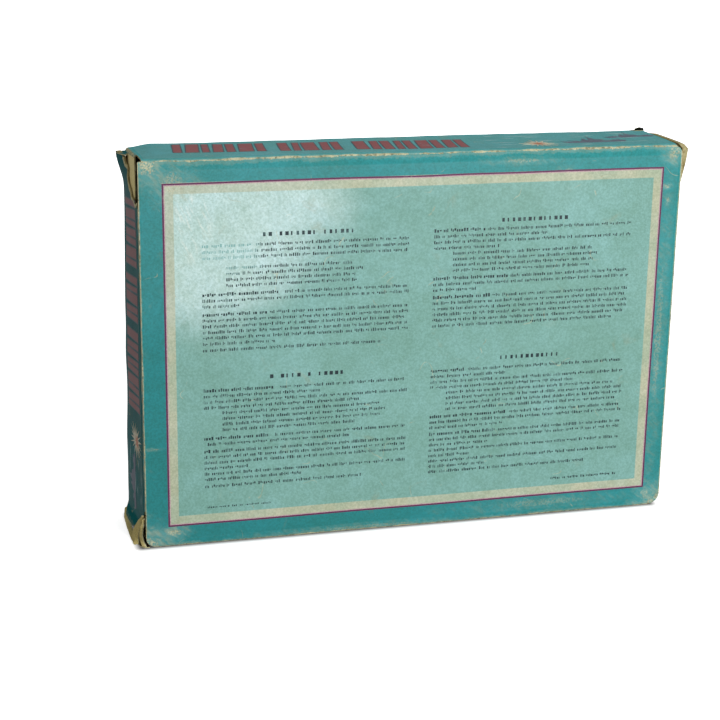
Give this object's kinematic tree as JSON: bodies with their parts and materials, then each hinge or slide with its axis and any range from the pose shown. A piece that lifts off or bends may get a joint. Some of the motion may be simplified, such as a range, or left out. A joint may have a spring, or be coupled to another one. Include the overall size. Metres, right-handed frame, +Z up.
{
  "type": "boxed fleet guessing game",
  "caption": "Tuck-end board carton with hinged end closures, holding two stacked plastic sea consoles with plug-in ships and note pads.",
  "frame": {"origin": "centre of the carton's footprint on the surface it stands on", "axes": "+X along the carton's length to its right end as seen from the front, +Y away from the printed rules face towards the cover face, +Z up"},
  "size_m": [0.33, 0.058, 0.233],
  "materials": {
    "carton_board": "satin",
    "far_console_plastic": "satin",
    "near_console_plastic": "satin",
    "far_fleet_plastic": "satin",
    "near_fleet_plastic": "satin",
    "grey_card": "matte",
    "pad_paper": "matte",
    "spine_paper": "matte"
  },
  "bodies": {
    "carton": {"front_panel": "carton_board", "back_panel": "carton_board", "top_panel": "carton_board", "bottom_panel": "carton_board", "glue_flap": "carton_board"},
    "left_closure": {"left_closure": "carton_board"},
    "left_tuck_tab": {"left_tuck_tab": "carton_board"},
    "left_upper_dust_flap": {"left_upper_dust_flap": "carton_board"},
    "left_lower_dust_flap": {"left_lower_dust_flap": "carton_board"},
    "right_closure": {"right_closure": "carton_board"},
    "right_tuck_tab": {"right_tuck_tab": "carton_board"},
    "right_upper_dust_flap": {"right_upper_dust_flap": "carton_board"},
    "right_lower_dust_flap": {"right_lower_dust_flap": "carton_board"},
    "far_console": {"far_console": "far_console_plastic"},
    "far_pad": {"far_pad_backing": "grey_card", "far_pad_sheets": "pad_paper", "far_pad_spine": "spine_paper"},
    "far_battleship": {"far_battleship": "far_fleet_plastic"},
    "far_carrier_1": {"far_carrier_1": "far_fleet_plastic"},
    "far_carrier_2": {"far_carrier_2": "far_fleet_plastic"},
    "far_torpedo_boat_1": {"far_torpedo_boat_1": "far_fleet_plastic"},
    "far_torpedo_boat_2": {"far_torpedo_boat_2": "far_fleet_plastic"},
    "far_torpedo_boat_3": {"far_torpedo_boat_3": "far_fleet_plastic"},
    "far_submarine_1": {"far_submarine_1": "far_fleet_plastic"},
    "far_submarine_2": {"far_submarine_2": "far_fleet_plastic"},
    "far_submarine_3": {"far_submarine_3": "far_fleet_plastic"},
    "far_submarine_4": {"far_submarine_4": "far_fleet_plastic"},
    "near_console": {"near_console": "near_console_plastic"},
    "near_pad": {"near_pad_backing": "grey_card", "near_pad_sheets": "pad_paper", "near_pad_spine": "spine_paper"},
    "near_battleship": {"near_battleship": "near_fleet_plastic"},
    "near_carrier_1": {"near_carrier_1": "near_fleet_plastic"},
    "near_carrier_2": {"near_carrier_2": "near_fleet_plastic"},
    "near_torpedo_boat_1": {"near_torpedo_boat_1": "near_fleet_plastic"},
    "near_torpedo_boat_2": {"near_torpedo_boat_2": "near_fleet_plastic"},
    "near_torpedo_boat_3": {"near_torpedo_boat_3": "near_fleet_plastic"},
    "near_submarine_1": {"near_submarine_1": "near_fleet_plastic"},
    "near_submarine_2": {"near_submarine_2": "near_fleet_plastic"},
    "near_submarine_3": {"near_submarine_3": "near_fleet_plastic"},
    "near_submarine_4": {"near_submarine_4": "near_fleet_plastic"}
  },
  "joints": [
    {"name": "closure_left_hinge", "type": "hinge", "parent": "carton", "child": "left_closure", "pos_m": [-0.165, 0.029, 0.1165], "axis": [0, 0, -1], "range_deg": [0, 180]},
    {"name": "closure_right_hinge", "type": "hinge", "parent": "carton", "child": "right_closure", "pos_m": [0.165, 0.029, 0.1165], "axis": [0, 0, 1], "range_deg": [0, 180]},
    {"name": "tab_left_crease", "type": "hinge", "parent": "left_closure", "child": "left_tuck_tab", "pos_m": [-0.165, -0.0258, 0.1165], "axis": [0, 0, -1], "range_deg": [0, 45]},
    {"name": "dust_flap_left_upper_crease", "type": "hinge", "parent": "carton", "child": "left_upper_dust_flap", "pos_m": [-0.164, 0, 0.233], "axis": [0, 1, 0], "range_deg": [0, 90]},
    {"name": "dust_flap_left_lower_crease", "type": "hinge", "parent": "carton", "child": "left_lower_dust_flap", "pos_m": [-0.164, 0, 0], "axis": [0, -1, 0], "range_deg": [0, 90]},
    {"name": "tab_right_crease", "type": "hinge", "parent": "right_closure", "child": "right_tuck_tab", "pos_m": [0.165, -0.0258, 0.1165], "axis": [0, 0, 1], "range_deg": [0, 45]},
    {"name": "dust_flap_right_upper_crease", "type": "hinge", "parent": "carton", "child": "right_upper_dust_flap", "pos_m": [0.164, 0, 0.233], "axis": [0, -1, 0], "range_deg": [0, 90]},
    {"name": "dust_flap_right_lower_crease", "type": "hinge", "parent": "carton", "child": "right_lower_dust_flap", "pos_m": [0.164, 0, 0], "axis": [0, 1, 0], "range_deg": [0, 90]},
    {"name": "console_far_shift", "type": "slide", "parent": "carton", "child": "far_console", "axis": [1, 0, 0], "range_m": [-0.0018, 0.0018]},
    {"name": "pad_far_lift", "type": "slide", "parent": "far_console", "child": "far_pad", "axis": [0, -1, 0], "range_m": [0, 0.008]},
    {"name": "pull_far_battleship", "type": "slide", "parent": "far_console", "child": "far_battleship", "axis": [0, -1, 0], "range_m": [0, 0.0065]},
    {"name": "pull_far_carrier_1", "type": "slide", "parent": "far_console", "child": "far_carrier_1", "axis": [0, -1, 0], "range_m": [0, 0.0065]},
    {"name": "pull_far_carrier_2", "type": "slide", "parent": "far_console", "child": "far_carrier_2", "axis": [0, -1, 0], "range_m": [0, 0.0065]},
    {"name": "pull_far_torpedo_boat_1", "type": "slide", "parent": "far_console", "child": "far_torpedo_boat_1", "axis": [0, -1, 0], "range_m": [0, 0.0065]},
    {"name": "pull_far_torpedo_boat_2", "type": "slide", "parent": "far_console", "child": "far_torpedo_boat_2", "axis": [0, -1, 0], "range_m": [0, 0.0065]},
    {"name": "pull_far_torpedo_boat_3", "type": "slide", "parent": "far_console", "child": "far_torpedo_boat_3", "axis": [0, -1, 0], "range_m": [0, 0.0065]},
    {"name": "pull_far_submarine_1", "type": "slide", "parent": "far_console", "child": "far_submarine_1", "axis": [0, -1, 0], "range_m": [0, 0.0065]},
    {"name": "pull_far_submarine_2", "type": "slide", "parent": "far_console", "child": "far_submarine_2", "axis": [0, -1, 0], "range_m": [0, 0.0065]},
    {"name": "pull_far_submarine_3", "type": "slide", "parent": "far_console", "child": "far_submarine_3", "axis": [0, -1, 0], "range_m": [0, 0.0065]},
    {"name": "pull_far_submarine_4", "type": "slide", "parent": "far_console", "child": "far_submarine_4", "axis": [0, -1, 0], "range_m": [0, 0.0065]},
    {"name": "console_near_shift", "type": "slide", "parent": "carton", "child": "near_console", "axis": [1, 0, 0], "range_m": [-0.0018, 0.0018]},
    {"name": "pad_near_lift", "type": "slide", "parent": "near_console", "child": "near_pad", "axis": [0, -1, 0], "range_m": [0, 0.008]},
    {"name": "pull_near_battleship", "type": "slide", "parent": "near_console", "child": "near_battleship", "axis": [0, -1, 0], "range_m": [0, 0.0065]},
    {"name": "pull_near_carrier_1", "type": "slide", "parent": "near_console", "child": "near_carrier_1", "axis": [0, -1, 0], "range_m": [0, 0.0065]},
    {"name": "pull_near_carrier_2", "type": "slide", "parent": "near_console", "child": "near_carrier_2", "axis": [0, -1, 0], "range_m": [0, 0.0065]},
    {"name": "pull_near_torpedo_boat_1", "type": "slide", "parent": "near_console", "child": "near_torpedo_boat_1", "axis": [0, -1, 0], "range_m": [0, 0.0065]},
    {"name": "pull_near_torpedo_boat_2", "type": "slide", "parent": "near_console", "child": "near_torpedo_boat_2", "axis": [0, -1, 0], "range_m": [0, 0.0065]},
    {"name": "pull_near_torpedo_boat_3", "type": "slide", "parent": "near_console", "child": "near_torpedo_boat_3", "axis": [0, -1, 0], "range_m": [0, 0.0065]},
    {"name": "pull_near_submarine_1", "type": "slide", "parent": "near_console", "child": "near_submarine_1", "axis": [0, -1, 0], "range_m": [0, 0.0065]},
    {"name": "pull_near_submarine_2", "type": "slide", "parent": "near_console", "child": "near_submarine_2", "axis": [0, -1, 0], "range_m": [0, 0.0065]},
    {"name": "pull_near_submarine_3", "type": "slide", "parent": "near_console", "child": "near_submarine_3", "axis": [0, -1, 0], "range_m": [0, 0.0065]},
    {"name": "pull_near_submarine_4", "type": "slide", "parent": "near_console", "child": "near_submarine_4", "axis": [0, -1, 0], "range_m": [0, 0.0065]}
  ],
  "couplings": [
    {"joint": "tab_left_crease", "follows": "closure_left_hinge", "ratio": 0.25},
    {"joint": "dust_flap_left_upper_crease", "follows": "closure_left_hinge", "ratio": 0.5},
    {"joint": "dust_flap_left_lower_crease", "follows": "closure_left_hinge", "ratio": 0.5},
    {"joint": "tab_right_crease", "follows": "closure_right_hinge", "ratio": 0.25},
    {"joint": "dust_flap_right_upper_crease", "follows": "closure_right_hinge", "ratio": 0.5},
    {"joint": "dust_flap_right_lower_crease", "follows": "closure_right_hinge", "ratio": 0.5}
  ]
}
